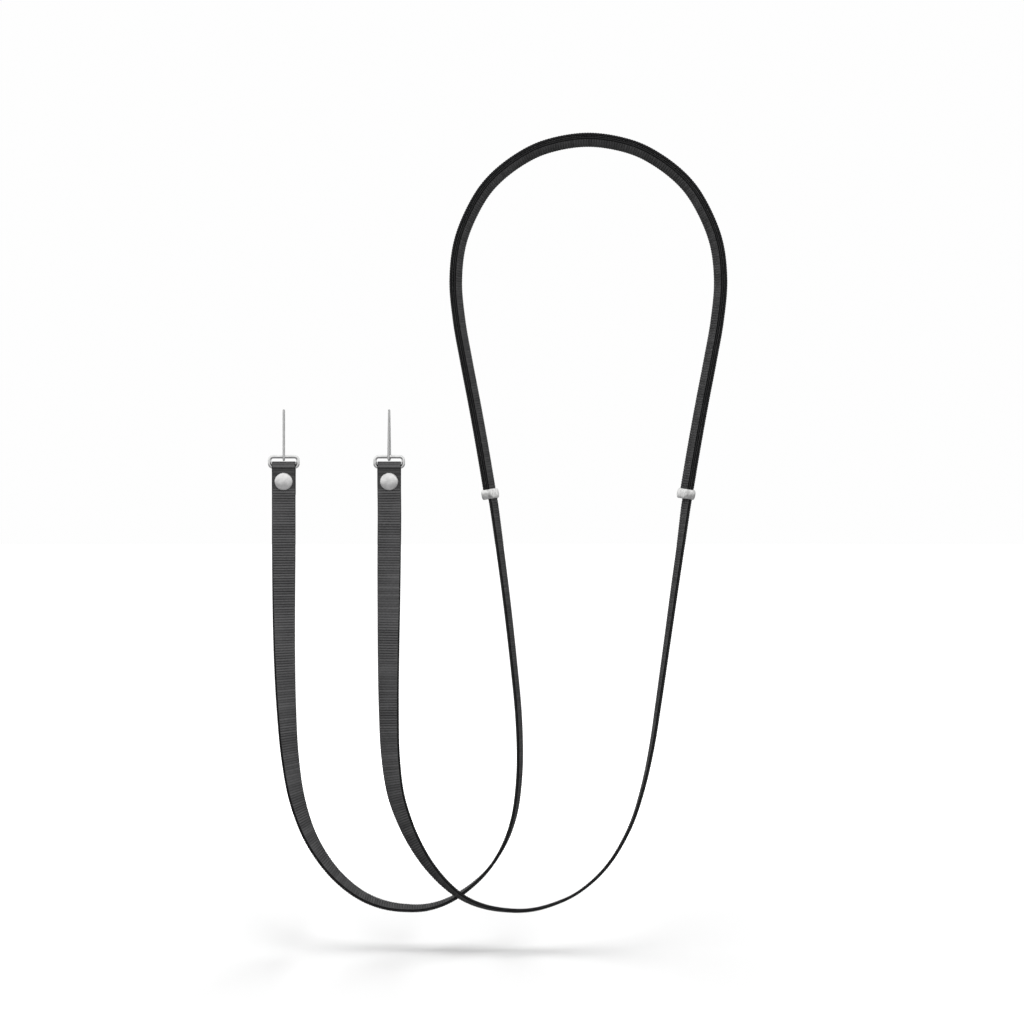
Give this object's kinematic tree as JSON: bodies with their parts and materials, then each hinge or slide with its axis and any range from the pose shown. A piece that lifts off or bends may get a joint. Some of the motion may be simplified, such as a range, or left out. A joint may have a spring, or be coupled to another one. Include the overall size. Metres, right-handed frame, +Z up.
{
  "type": "phone crossbody strap",
  "caption": "Flat ribbed webbing strap with a wide neck loop and long legs, metal sliders, and a riveted ring and cord loop at each end to hold a phone case.",
  "frame": {"origin": "crest of the neck loop, on the inner face at mid width, where the strap hangs on its wearer", "axes": "+Z up along the hanging strap, +X to the right seen from the front, +Y away from the front"},
  "size_m": [0.258, 0.0288, 0.4381],
  "materials": {
    "webbing": "black cross-ribbed woven webbing",
    "slider_metal": "satin steel",
    "ring_metal": "polished",
    "rivet_metal": "satin steel",
    "cord": "braided grey cord"
  },
  "bodies": {
    "strap": {"strap_left": "webbing", "strap_right": "webbing", "slider_left": "slider_metal", "slider_right": "slider_metal", "rivet_left": "rivet_metal", "rivet_right": "rivet_metal"},
    "ring_left": {"ring_left": "ring_metal", "cord_loop_left": "cord"},
    "ring_right": {"ring_right": "ring_metal", "cord_loop_right": "cord"}
  },
  "joints": [
    {"name": "ring_left_swing", "type": "hinge", "parent": "strap", "child": "ring_left", "pos_m": [-0.171, 0, -0.18195], "axis": [1, 0, 0], "range_deg": [-105, 105]},
    {"name": "ring_right_swing", "type": "hinge", "parent": "strap", "child": "ring_right", "pos_m": [-0.1118, 0, -0.18195], "axis": [1, 0, 0], "range_deg": [-105, 105]}
  ]
}
